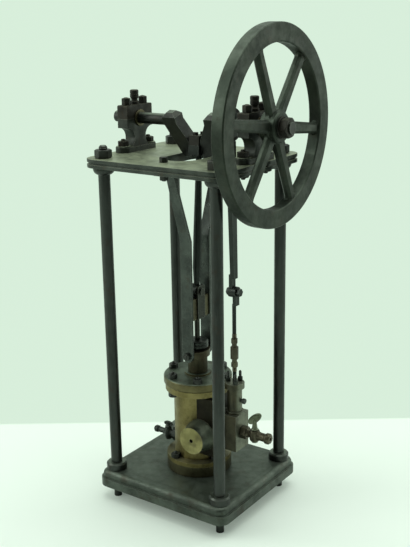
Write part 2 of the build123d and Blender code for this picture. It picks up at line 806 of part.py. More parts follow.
with BuildPart() as big_end_cap:
    with BuildSketch(Plane((engine_x, 0, big_end_z))):
        Rectangle(big_end_width, big_end_depth)
    extrude(amount=big_half)
    along_x(
        engine_x - big_end_width / 2, 0, big_end_z, crank_pin_dia + 2 * pin_fit, big_end_width,
        Mode.SUBTRACT,
    )
    for y in (-big_end_bolt_spacing / 2, big_end_bolt_spacing / 2):
        hex_nut(engine_x, y, big_end_z + big_half, big_end_nut_flats, 0, big_end_nut_height)
save("big_end_cap", big_end_cap.part.rotate(gudgeon_axis, -rod_lean))

with BuildPart() as crank_pin:
    along_x(
        engine_x - web_inner + sliding_gap, pin_y, pin_z, crank_pin_dia,
        2 * (web_inner - sliding_gap),
    )
save("crank_pin", crank_pin.part)

# Guide bars: bolted under the top plate, splayed in to the crosshead, bolted to the neck
flange_bolt_z = neck_top + gland_flange_height / 2
for side, hand in (("front", -1), ("back", 1)):
    with BuildPart() as guide_bar:
        with BuildSketch(
            Plane((engine_x - guide_width / 2, 0, 0), x_dir=(0, 1, 0), z_dir=(1, 0, 0))
        ):
            with BuildLine():
                foot_y = guide_foot_reach + guide_foot_length / 2
                heel_y = guide_foot_reach - guide_foot_length / 2
                Polyline(
                    (hand * guide_inner_y, guide_bottom),
                    (hand * guide_inner_y, guide_bend),
                    (hand * heel_y, top_bottom),
                    (hand * foot_y, top_bottom),
                    (hand * foot_y, top_bottom - guide_thickness),
                    (hand * (heel_y + guide_bend_lap), top_bottom - guide_thickness),
                    (hand * guide_outer_y, guide_bend - guide_bend_lap / 2),
                    (hand * guide_outer_y, guide_bottom),
                    close=True,
                )
            make_face()
        extrude(amount=guide_width)
        with BuildSketch(
            Plane((engine_x, hand * guide_inner_y, 0), x_dir=(1, 0, 0), z_dir=(0, hand, 0))
        ) as outline:
            with BuildLine():
                rise = -hand
                half = guide_width / 2
                Polyline(
                    (-guide_top_width / 2, rise * top_bottom), (-half, rise * guide_bend),
                    (-half, rise * (guide_bottom + half)),
                )
                Polyline(
                    (guide_top_width / 2, rise * top_bottom), (half, rise * guide_bend),
                    (half, rise * (guide_bottom + half)),
                )
                ThreePointArc(
                    (-half, rise * (guide_bottom + half)), (0, rise * guide_bottom),
                    (half, rise * (guide_bottom + half)),
                )
                Line(
                    (-guide_top_width / 2, rise * top_bottom), (guide_top_width / 2, rise * top_bottom)
                )
            make_face()
        extrude(outline.sketch, amount=foot_y, mode=Mode.INTERSECT)
        upright(
            engine_x, hand * guide_foot_reach, top_bottom - guide_thickness,
            small_bolt_dia + hole_clearance, guide_thickness, Mode.SUBTRACT,
        )
    save(side + "_guide_bar", guide_bar.part)

# Guide bolts: upright ones through the top plate, level ones into the stuffing box flange
with BuildPart() as guide_bolts:
    for y in (-guide_foot_reach, guide_foot_reach):
        nut_bottom = top_bottom - guide_thickness - guide_nut_height
        upright(
            engine_x, y, nut_bottom - guide_bolt_end, small_bolt_dia,
            guide_bolt_end + guide_nut_height + guide_thickness + top_thickness,
        )
        hex_nut(engine_x, y, nut_bottom, guide_nut_flats, 0, guide_nut_height)
        hex_nut(engine_x, y, top_top, small_nut_flats, 0, guide_nut_height)
    for hand in (-1, 1):
        with BuildSketch(
            Plane((engine_x, hand * guide_outer_y, flange_bolt_z), x_dir=(1, 0, 0), z_dir=(0, hand, 0))
        ) as head:
            RegularPolygon(small_nut_flats / 2, 6, major_radius=False)
        extrude(head.sketch, amount=flange_bolt_head)
save("guide_bolts", guide_bolts.part)

# Cylinder foot: a ring that stands on the base plate
with BuildPart() as cylinder_foot:
    upright(engine_x, 0, base_top, cylinder_flange_dia, base_ring_height)
    upright(engine_x, 0, base_top, bore_dia, base_ring_height, Mode.SUBTRACT)
save("cylinder_foot", cylinder_foot.part)

# Cylinder: lower flange, barrel and upper flange in one casting, bored from the top
with BuildPart() as cylinder:
    upright(engine_x, 0, flange_bottom, cylinder_flange_dia, base_flange_height)
    upright(engine_x, 0, barrel_bottom, barrel_dia, barrel_height)
    upright(engine_x, 0, barrel_top, cylinder_flange_dia, cylinder_flange_height)
    chamfer(cylinder.edges().group_by(Axis.Z)[-1], cover_groove)
    upright(engine_x, 0, barrel_bottom, bore_dia, cover_bottom - barrel_bottom, Mode.SUBTRACT)
save("cylinder", cylinder.part)

# Cover, with a groove at the joint and a low boss round the neck
with BuildPart() as cylinder_cover:
    upright(engine_x, 0, cover_bottom, cover_dia, cover_height)
    chamfer(cylinder_cover.edges().group_by(Axis.Z)[-1], cover_edge_cut)
    chamfer(cylinder_cover.edges().group_by(Axis.Z)[0], cover_groove)
    upright(engine_x, 0, cover_top, cover_boss_dia, cover_boss_height)
    upright(
        engine_x, 0, cover_bottom, piston_rod_dia + 2 * sliding_gap, cover_height + cover_boss_height,
        Mode.SUBTRACT,
    )
save("cylinder_cover", cylinder_cover.part)

# Nuts over and under the upper flange and on the lower flange, on one bolt circle,
# each with a flat towards the barrel
nut_half_side = 30
with BuildPart() as cylinder_nuts:
    rows = (
        (cover_nut_count, cover_nut_turn, cover_top), (foot_nut_count, foot_nut_turn, barrel_bottom)
    )
    for count, first_turn, level in rows:
        for number in range(count):
            turn = 360 / count * number + first_turn
            nut_x = engine_x + cover_bolt_circle / 2 * cos(radians(turn))
            nut_y = cover_bolt_circle / 2 * sin(radians(turn))
            flat_in = turn + nut_half_side
            hex_nut(nut_x, nut_y, level, cover_nut_flats, 0, cover_nut_height, flat_in)
            upright(nut_x, nut_y, level + cover_nut_height, small_bolt_dia, bolt_end)
            if level == cover_top and nut_x < engine_x:
                lower_nut = barrel_top - cover_nut_height
                hex_nut(nut_x, nut_y, lower_nut, cover_nut_flats, 0, cover_nut_height, flat_in)
save("cylinder_nuts", cylinder_nuts.part)

# Stuffing box: neck and an oval flange that carries the guide bars
with BuildPart() as stuffing_box:
    upright(engine_x, 0, neck_bottom, neck_dia, neck_height)
    with BuildSketch(Plane((engine_x, 0, neck_top))):
        Ellipse(gland_flange_width / 2, guide_inner_y)
    extrude(amount=gland_flange_height)
    upright(
        engine_x, 0, neck_bottom, piston_rod_dia + 2 * sliding_gap, gland_flange_top - neck_bottom,
        Mode.SUBTRACT,
    )
save("stuffing_box", stuffing_box.part)

with BuildPart() as gland:
    upright(engine_x, 0, gland_flange_top, gland_neck_dia, gland_neck_height)
    upright(
        engine_x, 0, gland_flange_top + gland_neck_height, gland_dia, gland_height - gland_neck_height
    )
    chamfer(gland.edges().group_by(Axis.Z)[-1], cover_edge_cut)
    upright(
        engine_x, 0, gland_flange_top, piston_rod_dia + 2 * running_fit, gland_height,
        Mode.SUBTRACT,
    )
save("gland", gland.part)

# Port block between the cylinder and the valve chest, hugging the barrel
chest_back_x = valve_x + chest_face_reach - chest_block_length
port_bottom = barrel_bottom + cover_nut_height + bolt_end + port_block_drop
port_top = barrel_top - port_block_gap
with BuildPart() as port_block:
    with BuildSketch(Plane(((engine_x + chest_back_x) / 2, 0, port_bottom))):
        Rectangle(chest_back_x - engine_x, port_block_width)
    extrude(amount=port_top - port_bottom)
    upright(
        engine_x, 0, port_bottom, barrel_dia + hole_clearance, port_top - port_bottom, Mode.SUBTRACT
    )
save("port_block", port_block.part)

# Steam stub closed by a drilled plug, flaring back to the front of the port block
stub_z = base_top + stub_height
stub_end = Plane((stub_x, -stub_length, stub_z), x_dir=(1, 0, 0), z_dir=(0, 1, 0))
stub_depth = stub_length - port_block_width / 2
with BuildPart() as steam_stub:
    with BuildSketch(stub_end):
        Circle(stub_dia / 2)
    extrude(amount=stub_lip)
    with BuildSketch(stub_end.offset(stub_lip)):
        Circle(stub_dia / 2)
    with BuildSketch(stub_end.offset(stub_depth)):
        Circle(stub_flare_dia / 2)
    loft()
    upright(
        engine_x, 0, stub_z - stub_dia, barrel_dia + hole_clearance, 2 * stub_dia, Mode.SUBTRACT
    )
    with BuildSketch(stub_end):
        Circle(stub_hole_dia / 2)
    extrude(amount=stub_hole_depth, mode=Mode.SUBTRACT)
save("steam_stub", steam_stub.part)

# Valve chest: block carried by the port block, with a boss, a round neck and a cover
with BuildPart() as valve_chest:
    with BuildSketch(Plane((chest_back_x + chest_block_length / 2, 0, chest_block_base))):
        Rectangle(chest_block_length, chest_block_width)
    extrude(amount=chest_block_height)
    upright(valve_x, 0, chest_block_top, chest_boss_dia, chest_boss_height)
    upright(valve_x, 0, chest_boss_top, chest_neck_dia, chest_neck_top - chest_boss_top)
    upright(
        valve_x, 0, valve_bore_bottom, valve_bore_dia, chest_neck_top - valve_bore_bottom,
        Mode.SUBTRACT,
    )
save("valve_chest", valve_chest.part)

with BuildPart() as valve_chest_cover:
    upright(valve_x, 0, chest_neck_top, chest_cover_dia, chest_cover_height)
    upright(
        valve_x, 0, chest_neck_top, spindle_dia + 2 * running_fit, chest_cover_height,
        Mode.SUBTRACT,
    )
save("valve_chest_cover", valve_chest_cover.part)

with BuildPart() as valve_cover_studs:
    for number in range(cover_stud_count):
        turn = radians(360 / cover_stud_count * number + cover_stud_turn)
        stud_x = valve_x + cover_stud_circle / 2 * cos(turn)
        stud_y = cover_stud_circle / 2 * sin(turn)
        upright(stud_x, stud_y, chest_cover_top, cover_stud_dia, cover_stud_height)
        hex_nut(
            stud_x, stud_y, chest_cover_top, cover_stud_nut_flats, 0, cover_stud_nut_height
        )
save("valve_cover_studs", valve_cover_studs.part)


def cock(side, root_x, height, length, hand, wing_length, wing_tilt, wing_rise):
    """Make one drain cock body, and its plug with a flat oval handle."""
    z = base_top + height
    body_half = cock_body_dia / 2
    plug_x = root_x + hand * cock_plug_reach
    end_x = root_x + hand * length
    nozzle_x = end_x - hand * nozzle_length
    out = Plane((root_x, 0, z), x_dir=(0, 1, 0), z_dir=(hand, 0, 0))
    with BuildPart() as body:
        with BuildSketch(out):
            RegularPolygon(cock_boss_flats / 2, 6, major_radius=False)
        extrude(amount=cock_boss_length)
        along_x(min(root_x, nozzle_x), 0, z, cock_pipe_dia, abs(nozzle_x - root_x))
        along_x(min(nozzle_x, end_x), 0, z, nozzle_dia, nozzle_length)
        chamfer(
            body.edges().filter_by(GeomType.CIRCLE).filter_by(
                lambda edge: edge.radius == nozzle_dia / 2
            ),
            nozzle_edge,
        )
        upright(plug_x, 0, z - body_half, cock_body_dia, cock_body_dia)
        bore_x = min(end_x, end_x - hand * nozzle_bore_depth)
        along_x(bore_x, 0, z, nozzle_bore, nozzle_bore_depth, Mode.SUBTRACT)
        upright(
            plug_x, 0, z - body_half, cock_plug_dia + 2 * running_fit, cock_body_dia, Mode.SUBTRACT
        )
    save(side + "_cock", body.part)
    with BuildPart() as plug:
        plug_bottom = z - body_half - cock_tail
        wing_z = z + body_half + wing_rise
        upright(plug_x, 0, plug_bottom, cock_plug_dia, wing_z - plug_bottom)
        upright(plug_x, 0, plug_bottom, cock_tail_dia, cock_tail - sliding_gap)
        wing_plane = Plane((plug_x, wing_thickness / 2, wing_z), x_dir=(1, 0, 0), z_dir=(0, -1, 0))
        with BuildSketch(wing_plane):
            Ellipse(wing_length / 2, wing_height / 2, rotation=wing_tilt)
        extrude(amount=wing_thickness)
    save(side + "_cock_plug", plug.part)


cock(
    "right", valve_x + chest_face_reach, right_cock_height, right_cock_length, 1,
    right_wing_length, right_wing_tilt, right_wing_rise,
)
cock(
    "left", engine_x - barrel_dia / 2, left_cock_height, left_cock_length, -1,
    left_wing_length, left_wing_tilt, left_wing_rise,
)
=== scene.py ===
"""Dresses the model vertical steam engine: worn finishes, nuts, threads and fine detail.

The frame is in metres: X along the crankshaft towards the flywheel, Y to the back,
Z up, with the floor at zero. Sizes of details are in millimetres, and MM turns them
into metres. Colours are linear.
"""
from math import ceil, cos, pi, radians, sin, tan

import bpy
from mathutils import Matrix, Vector


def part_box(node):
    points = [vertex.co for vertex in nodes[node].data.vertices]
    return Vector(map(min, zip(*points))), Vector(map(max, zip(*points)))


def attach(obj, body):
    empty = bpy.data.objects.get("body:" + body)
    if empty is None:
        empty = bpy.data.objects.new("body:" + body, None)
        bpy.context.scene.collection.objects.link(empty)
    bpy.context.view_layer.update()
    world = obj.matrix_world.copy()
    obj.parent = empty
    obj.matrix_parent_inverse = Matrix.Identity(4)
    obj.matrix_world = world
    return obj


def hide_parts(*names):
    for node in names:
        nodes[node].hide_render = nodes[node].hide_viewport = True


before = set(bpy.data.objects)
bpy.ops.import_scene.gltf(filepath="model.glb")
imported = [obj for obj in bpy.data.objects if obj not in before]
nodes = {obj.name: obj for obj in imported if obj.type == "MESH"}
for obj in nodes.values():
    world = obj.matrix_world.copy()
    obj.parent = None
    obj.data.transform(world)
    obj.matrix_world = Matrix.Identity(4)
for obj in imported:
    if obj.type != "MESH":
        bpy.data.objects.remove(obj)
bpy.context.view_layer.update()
MM = 0.001
UP = (0, 0, 1)
DOWN = (0, 0, -1)
RIGHT = (1, 0, 0)
FRONT = (0, -1, 0)
FRONT_UP = (0, -0.5, 0.866)
VIEW_AZIMUTH = radians(35.32)
LAMP_COLOUR = (0.95, 1.0, 0.95)
# A nut's end face and its worn corners as shares of its flats, and a thread's depth as a share of its pitch.
NUT_FACE = 0.95
NUT_CORNER = 1.12
THREAD_DEPTH = 0.5


class Graph:
    """Builds the node tree of one material, with short calls for what every finish needs."""

    def __init__(self, name):
        self.material = bpy.data.materials.new(name)
        self.material.use_nodes = True
        self.tree = self.material.node_tree
        self.shader = self.tree.nodes["Principled BSDF"]
        self.place = self.node("ShaderNodeTexCoord").outputs["Object"]
        self.geometry = self.node("ShaderNodeNewGeometry")

    def node(self, kind, inputs=None, **settings):
        """Add one node. Inputs are values, or sockets to link from."""
        made = self.tree.nodes.new(kind)
        for key, value in settings.items():
            setattr(made, key, value)
        for key, value in (inputs or {}).items():
            self.feed(made.inputs[key], value)
        return made

    def feed(self, socket, value):
        """Set a socket's value, or link another socket to it."""
        if isinstance(value, bpy.types.NodeSocket):
            self.tree.links.new(value, socket)
        else:
            socket.default_value = value

    def maths(self, operation, first, second=0.5):
        return self.node("ShaderNodeMath", {0: first, 1: second}, operation=operation).outputs[0]

    def noise(self, scale, detail=5.0, roughness=0.6, stretch=(1, 1, 1), shift=0.0):
        """Cloudy noise between about 0.2 and 0.8; scale is in features per metre."""
        spread = self.node("ShaderNodeMapping", {
            "Vector": self.place, "Scale": stretch, "Location": (shift, shift * 0.7, shift * 1.3),
        }).outputs[0]
        made = self.node("ShaderNodeTexNoise", {
            "Vector": spread, "Scale": scale, "Detail": detail, "Roughness": roughness,
        })
        return made.outputs["Fac"]

    def level(self, value, low, high, to_low=0.0, to_high=1.0):
        """Stretch a value from low..high to to_low..to_high, clamped and eased."""
        made = self.node("ShaderNodeMapRange", {
            "Value": value, "From Min": low, "From Max": high, "To Min": to_low, "To Max": to_high,
        }, interpolation_type="SMOOTHSTEP")
        return made.outputs["Result"]

    def blend(self, share, first, second):
        """Mix two colours."""
        made = self.node("ShaderNodeMix", data_type="RGBA")
        self.feed(made.inputs[0], share)
        self.feed(made.inputs[6], tint(first))
        self.feed(made.inputs[7], tint(second))
        return made.outputs[2]

    def edges(self, radius):
        """A mask that is 1 on sharp edges and 0 on open faces, from how far the normal turns there."""
        flat, sharp = 0.995, 0.86
        rounded = self.node("ShaderNodeBevel", {"Radius": radius * MM}, samples=6).outputs[0]
        likeness = self.node("ShaderNodeVectorMath", {
            0: rounded, 1: self.geometry.outputs["Normal"],
        }, operation="DOT_PRODUCT").outputs["Value"]
        return self.level(likeness, flat, sharp)

    def crevice_shade(self, reach):
        """A mask that is 1 where faces stand close together, from ambient occlusion; it paints shade into
        corners.
        """
        open_share, tight_share = 0.75, 0.25
        made = self.node("ShaderNodeAmbientOcclusion", {"Distance": reach * MM}, samples=6)
        return self.level(made.outputs["AO"], open_share, tight_share)

    def looking(self, direction, low=0.6, high=0.95):
        """A mask that is 1 on faces that look in a direction."""
        likeness = self.node("ShaderNodeVectorMath", {
            0: self.geometry.outputs["Normal"], 1: direction,
        }, operation="DOT_PRODUCT").outputs["Value"]
        return self.level(likeness, low, high)

    def bump(self, height, strength, distance, below=None):
        """Chain one bump map."""
        inputs = {"Height": height, "Strength": strength, "Distance": distance * MM}
        if below is not None:
            inputs["Normal"] = below
        return self.node("ShaderNodeBump", inputs).outputs[0]

    def finish(self, colour, roughness, normal, metallic):
        """Connect the surface."""
        self.feed(self.shader.inputs["Base Color"], colour)
        self.feed(self.shader.inputs["Roughness"], roughness)
        self.feed(self.shader.inputs["Normal"], normal)
        self.shader.inputs["Metallic"].default_value = metallic
        return self.material


def tint(colour):
    """A colour written as three numbers, with its alpha added."""
    if isinstance(colour, bpy.types.NodeSocket):
        return colour
    return (*colour, 1.0)


def aged_metal(
    name, dark, light, stain, worn, metallic=0.75, rough=(0.34, 0.58), stain_share=0.5,
    edge_radius=0.7, edge_share=0.8, dust_and_top_light=None, dust_and_top_light_share=0.0, dirt_and_shade=(0.012, 0.012, 0.009),
    grain=0.25, stretch=(1, 1, 1), pits=0.3, side=None, corner_reach=5.0,
):
    """Old metal: mottled skin, brown stains, worn edges, dirt and painted shade in corners, and dust on
    upward faces, partly painted top light on some finishes.

    A side is a direction with two colours, for faces that look that way: a real second tone on some
    finishes, and painted light or shade on others.
    Scales are in features per metre, and the depths of pits and grain in millimetres.
    """
    cloud_scale, fine_scale, blot_scale, top_patch_scale = 45, 420, 70, 60
    rub_scale, gloss_scale, pit_scale, grain_scale = 160, 130, 260, 1900
    fine_share, dirt_and_shade_share, pit_depth, grain_depth = 0.45, 0.75, 0.25, 0.09
    g = Graph(name)
    clouds = g.noise(cloud_scale, stretch=stretch)
    mottle = g.level(clouds, 0.36, 0.66)
    fine = g.noise(fine_scale, detail=4, stretch=stretch, shift=3.1)
    skin = g.blend(mottle, dark, light)
    skin = g.blend(g.level(fine, 0.35, 0.75, 0.0, fine_share), skin, light)
    # Faces that look one way get other colours: a real second tone on the cover and stub, painted light on
    # the wheel, painted shade on the valve chest and piston.
    if side:
        direction, side_dark, side_light = side
        facing_tone_and_light = g.blend(mottle, side_dark, side_light)
        skin = g.blend(g.looking(direction, 0.45, 0.8), skin, facing_tone_and_light)
    blots = g.noise(blot_scale, detail=7, roughness=0.68, shift=7.7)
    stained = g.level(blots, 0.62 - 0.18 * stain_share, 0.74 - 0.1 * stain_share)
    skin = g.blend(g.maths("MULTIPLY", stained, stain_share), skin, stain)
    # Corners darken towards the dirt colour: partly dirt, partly painted shade.
    skin = g.blend(g.maths("MULTIPLY", g.crevice_shade(corner_reach), dirt_and_shade_share), skin, dirt_and_shade)
    # Upward faces pale towards the dust colour: dust on most finishes, painted top light on the crank and
    # partly on the top plate.
    if dust_and_top_light:
        patches = g.level(g.noise(top_patch_scale, shift=1.7), 0.25, 0.6, 0.55, 1.0)
        dust_and_light_mask = g.maths("MULTIPLY", g.looking(UP), patches)
        skin = g.blend(g.maths("MULTIPLY", dust_and_light_mask, dust_and_top_light_share), skin, dust_and_top_light)
    patchy = g.level(g.noise(rub_scale, shift=5.2), 0.3, 0.62, 0.2, 1.0)
    rubbed = g.maths("MULTIPLY", g.edges(edge_radius), patchy)
    skin = g.blend(g.maths("MULTIPLY", rubbed, edge_share), skin, worn)
    roughness = g.level(g.noise(gloss_scale, shift=9.4), 0.3, 0.7, rough[0], rough[1])
    surface = g.bump(g.noise(pit_scale, detail=3, shift=2.2), pits, pit_depth)
    scratches = g.noise(grain_scale, detail=3, roughness=0.7, shift=4.4)
    surface = g.bump(scratches, grain, grain_depth, surface)
    return g.finish(skin, roughness, surface, metallic)


IRON = aged_metal(
    "old_cast_iron", (0.013, 0.016, 0.013), (0.030, 0.035, 0.028), (0.026, 0.019, 0.012),
    (0.12, 0.13, 0.11), metallic=0.65, rough=(0.36, 0.58), dust_and_top_light=(0.16, 0.17, 0.115), dust_and_top_light_share=0.7,
)
# Faces looking front and up are painted lighter: painted light on the rim and spokes.
WHEEL = aged_metal(
    "blackened_wheel", (0.014, 0.019, 0.013), (0.030, 0.038, 0.027), (0.026, 0.022, 0.014),
    (0.11, 0.13, 0.10), metallic=0.75, rough=(0.42, 0.6), edge_radius=1.0, edge_share=0.45,
    side=(FRONT_UP, (0.040, 0.052, 0.039), (0.082, 0.101, 0.078)),
)
# The top plate's pale top is dust, made paler in part as painted light falling on the plate.
PLATE_TOP = aged_metal(
    "dusty_top_lit_iron", (0.029, 0.035, 0.029), (0.055, 0.064, 0.053), (0.045, 0.034, 0.022),
    (0.15, 0.165, 0.145), dust_and_top_light=(0.33, 0.37, 0.25), dust_and_top_light_share=0.9,
)
PLATE_BASE = aged_metal(
    "stained_cast_iron", (0.042, 0.051, 0.041), (0.082, 0.098, 0.080), (0.038, 0.027, 0.018),
    (0.13, 0.145, 0.125), stain_share=0.6, dust_and_top_light=(0.12, 0.15, 0.115), dust_and_top_light_share=0.35, edge_share=0.35,
)
STEEL = aged_metal(
    "browned_steel", (0.026, 0.029, 0.026), (0.050, 0.056, 0.050), (0.038, 0.027, 0.020),
    (0.13, 0.14, 0.125), metallic=0.85, rough=(0.28, 0.46), grain=0.12, pits=0.15,
    stretch=(1, 1, 0.12), edge_share=0.6, dust_and_top_light=(0.15, 0.175, 0.14), dust_and_top_light_share=0.85,
)
RUST = aged_metal(
    "rusty_steel", (0.010, 0.009, 0.007), (0.024, 0.023, 0.018), (0.024, 0.017, 0.010),
    (0.11, 0.105, 0.08), metallic=0.7, rough=(0.42, 0.66), stain_share=0.7, grain=0.4,
    edge_share=0.5, dust_and_top_light=(0.085, 0.085, 0.055), dust_and_top_light_share=0.5,
)
FORGED = aged_metal(
    "forged_steel", (0.032, 0.037, 0.033), (0.066, 0.077, 0.067), (0.045, 0.034, 0.023),
    (0.18, 0.19, 0.17), metallic=0.85, rough=(0.26, 0.42), grain=0.15, pits=0.2,
)
# The crank's pale upward faces are mostly painted light from the top lamp, with a little dust.
CRANK = aged_metal(
    "oiled_crank_steel", (0.011, 0.012, 0.010), (0.027, 0.029, 0.025), (0.024, 0.016, 0.012),
    (0.16, 0.18, 0.155), metallic=0.75, rough=(0.3, 0.5), grain=0.15, pits=0.2, edge_radius=0.9,
    dust_and_top_light=(0.21, 0.245, 0.195), dust_and_top_light_share=0.75,
)
ROD = aged_metal(
    "dark_rod_steel", (0.012, 0.015, 0.013), (0.027, 0.032, 0.028), (0.020, 0.015, 0.011),
    (0.13, 0.14, 0.125), metallic=0.8, rough=(0.28, 0.46), grain=0.12, pits=0.15,
    stretch=(1, 1, 0.2), edge_share=0.6,
)
BRIGHT = aged_metal(
    "dulled_bright_steel", (0.015, 0.015, 0.012), (0.042, 0.043, 0.035), (0.026, 0.021, 0.013),
    (0.26, 0.26, 0.24), metallic=0.9, rough=(0.24, 0.42), stain_share=0.6, grain=0.1, pits=0.1,
    stretch=(1, 1, 0.25),
)
# Faces looking to the front are darker and browner: painted shade, partly a browner tone of their own.
LEADEN = aged_metal(
    "grey_steel", (0.086, 0.090, 0.065), (0.185, 0.195, 0.145), (0.060, 0.047, 0.026),
    (0.22, 0.22, 0.18), metallic=0.7, rough=(0.34, 0.54), grain=0.15, dust_and_top_light=(0.19, 0.2, 0.15),
    dust_and_top_light_share=0.3, side=(FRONT, (0.031, 0.029, 0.018), (0.071, 0.066, 0.040)),
)
# The wider corner reach darkens the barrel beside the port block and under its flanges: painted shade,
# partly dirt.
BRASS = aged_metal(
    "tarnished_brass", (0.115, 0.094, 0.031), (0.215, 0.180, 0.070), (0.055, 0.040, 0.016),
    (0.30, 0.27, 0.15), metallic=0.8, rough=(0.34, 0.54), stain_share=0.6, grain=0.12, pits=0.2,
    dirt_and_shade=(0.025, 0.020, 0.010), corner_reach=6.0, dust_and_top_light=(0.26, 0.25, 0.16), dust_and_top_light_share=0.85,
)
COVER = aged_metal(
    "greened_brass", (0.072, 0.060, 0.024), (0.135, 0.118, 0.052), (0.050, 0.036, 0.017),
    (0.24, 0.23, 0.15), metallic=0.75, rough=(0.34, 0.54), stain_share=0.6, grain=0.15, pits=0.25,
    dirt_and_shade=(0.02, 0.014, 0.008), side=(UP, (0.060, 0.078, 0.055), (0.130, 0.162, 0.120)),
)
STUB = aged_metal(
    "stub_brass", (0.050, 0.058, 0.042), (0.105, 0.120, 0.087), (0.038, 0.030, 0.018),
    (0.24, 0.23, 0.14), metallic=0.75, rough=(0.34, 0.54), stain_share=0.5, grain=0.15, pits=0.2,
    side=(FRONT, (0.18, 0.163, 0.063), (0.33, 0.295, 0.13)),
)
DARK_BRASS = aged_metal(
    "brown_brass", (0.048, 0.043, 0.021), (0.096, 0.087, 0.046), (0.036, 0.026, 0.014),
    (0.20, 0.18, 0.10), metallic=0.75, rough=(0.34, 0.56), stain_share=0.7, grain=0.2, pits=0.3,
    dirt_and_shade=(0.014, 0.010, 0.006),
)
# Near black: painted shade on the port block, which sits in shade between the barrel and the chest.
SHADED_PORT = aged_metal(
    "shade_darkened_brass", (0.007, 0.006, 0.003), (0.016, 0.014, 0.007), (0.014, 0.009, 0.005),
    (0.09, 0.08, 0.045), metallic=0.85, rough=(0.4, 0.6), stain_share=0.7, grain=0.2, pits=0.3,
)
NECK = aged_metal(
    "brown_neck", (0.038, 0.034, 0.018), (0.084, 0.075, 0.040), (0.045, 0.029, 0.015),
    (0.15, 0.13, 0.08), metallic=0.7, rough=(0.36, 0.58), stain_share=0.7, grain=0.25,
)
NUT = aged_metal(
    "blackened_nuts", (0.018, 0.020, 0.017), (0.040, 0.044, 0.037), (0.034, 0.024, 0.015),
    (0.11, 0.115, 0.10), metallic=0.6, rough=(0.36, 0.6), stain_share=0.6, grain=0.3, edge_share=0.6,
)
DARK_NUT = aged_metal(
    "dark_steel", (0.018, 0.021, 0.018), (0.042, 0.048, 0.041), (0.026, 0.020, 0.014),
    (0.11, 0.12, 0.105), metallic=0.8, rough=(0.3, 0.5), stain_share=0.5, grain=0.2, edge_share=0.6,
)
BROWN = aged_metal(
    "brown_bronze", (0.042, 0.037, 0.023), (0.088, 0.080, 0.052), (0.036, 0.024, 0.014),
    (0.19, 0.17, 0.11), metallic=0.75, rough=(0.3, 0.5), stain_share=0.45, grain=0.2,
)
HANDLE = aged_metal(
    "rubbed_bronze", (0.095, 0.110, 0.070), (0.190, 0.215, 0.145), (0.058, 0.050, 0.028),
    (0.25, 0.25, 0.17), metallic=0.75, rough=(0.3, 0.5), stain_share=0.45, grain=0.2,
)

FINISHES = {
    "base_plate": PLATE_BASE, "top_plate": PLATE_TOP, "left_pedestal": IRON, "right_pedestal": IRON,
    "left_bearing_cap": RUST, "right_bearing_cap": RUST, "bearing_bushes": DARK_BRASS,
    "front_left_column": STEEL, "front_right_column": STEEL, "back_left_column": STEEL,
    "back_right_column": STEEL, "crankshaft": CRANK, "flywheel": WHEEL, "eccentric_sheave": FORGED,
    "eccentric_strap": RUST, "eccentric_rod": ROD, "valve_spindle": ROD,
    "crosshead": BRIGHT, "crosshead_slippers": DARK_BRASS, "piston_rod": BRIGHT, "piston": LEADEN,
    "connecting_rod": ROD, "big_end_cap": RUST, "crank_pin": BRIGHT, "front_guide_bar": FORGED,
    "back_guide_bar": FORGED, "cylinder_foot": DARK_BRASS, "cylinder": BRASS,
    "cylinder_cover": COVER, "stuffing_box": NECK, "gland": DARK_NUT, "port_block": SHADED_PORT,
    "steam_stub": STUB, "valve_chest": LEADEN, "valve_chest_cover": LEADEN,
    "right_cock": BROWN, "left_cock": DARK_NUT, "right_cock_plug": BROWN,
    "left_cock_plug": DARK_NUT, "column_nuts": NUT, "bearing_bolts": RUST, "guide_bolts": NUT,
    "cylinder_nuts": NUT, "flywheel_nut": RUST, "valve_cover_studs": DARK_NUT, "valve_coupling": BROWN,
}


SHARP_ANGLE = 38
EDGE_SEGMENTS = 2
NODE_EDGE = 0.35
WHEEL_EDGE, WHEEL_EDGE_SEGMENTS = 0.9, 3


def soften(made, width, segments=EDGE_SEGMENTS):
    """Break an object's edges by a width in millimetres, and shade its faces evenly."""
    bevel = made.modifiers.new("soft_edges", "BEVEL")
    bevel.width = width * MM
    bevel.segments = segments
    bevel.limit_method = "ANGLE"
    bevel.angle_limit = radians(SHARP_ANGLE)
    bevel.use_clamp_overlap = True
    smooth = made.modifiers.new("normals", "WEIGHTED_NORMAL")
    smooth.keep_sharp = True


def dress(name, width=NODE_EDGE, segments=EDGE_SEGMENTS):
    """Give a CAD node its finish, and break its edges by a width in millimetres."""
    node = nodes[name]
    node.data.materials.clear()
    node.data.materials.append(FINISHES[name])
    weld = node.modifiers.new("weld", "WELD")
    weld.merge_threshold = 0.002 * MM
    soften(node, width, segments)


for name in FINISHES:
    if name == "flywheel":
        dress(name, WHEEL_EDGE, WHEEL_EDGE_SEGMENTS)
    else:
        dress(name)


COLUMNS = ("front_left_column", "front_right_column", "back_left_column", "back_right_column")


def span(name):
    """The lowest and highest corners of a CAD node, in millimetres."""
    low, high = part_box(name)
    return low / MM, high / MM


def middle(name):
    """The middle of a CAD node's box, in millimetres."""
    low, high = span(name)
    return (low + high) / 2


def stand(x, y, z, turn=0.0):
    """A place on an upright axis, turned by some degrees."""
    return Matrix.Translation((x, y, z)) @ Matrix.Rotation(radians(turn), 4, "Z")


def lie(x, y, z, towards, turn=0.0):
    """A place whose axis points towards a direction."""
    aimed = Vector(towards).to_track_quat("Z", "X").to_matrix().to_4x4()
    return Matrix.Translation((x, y, z)) @ aimed @ Matrix.Rotation(radians(turn), 4, "Z")


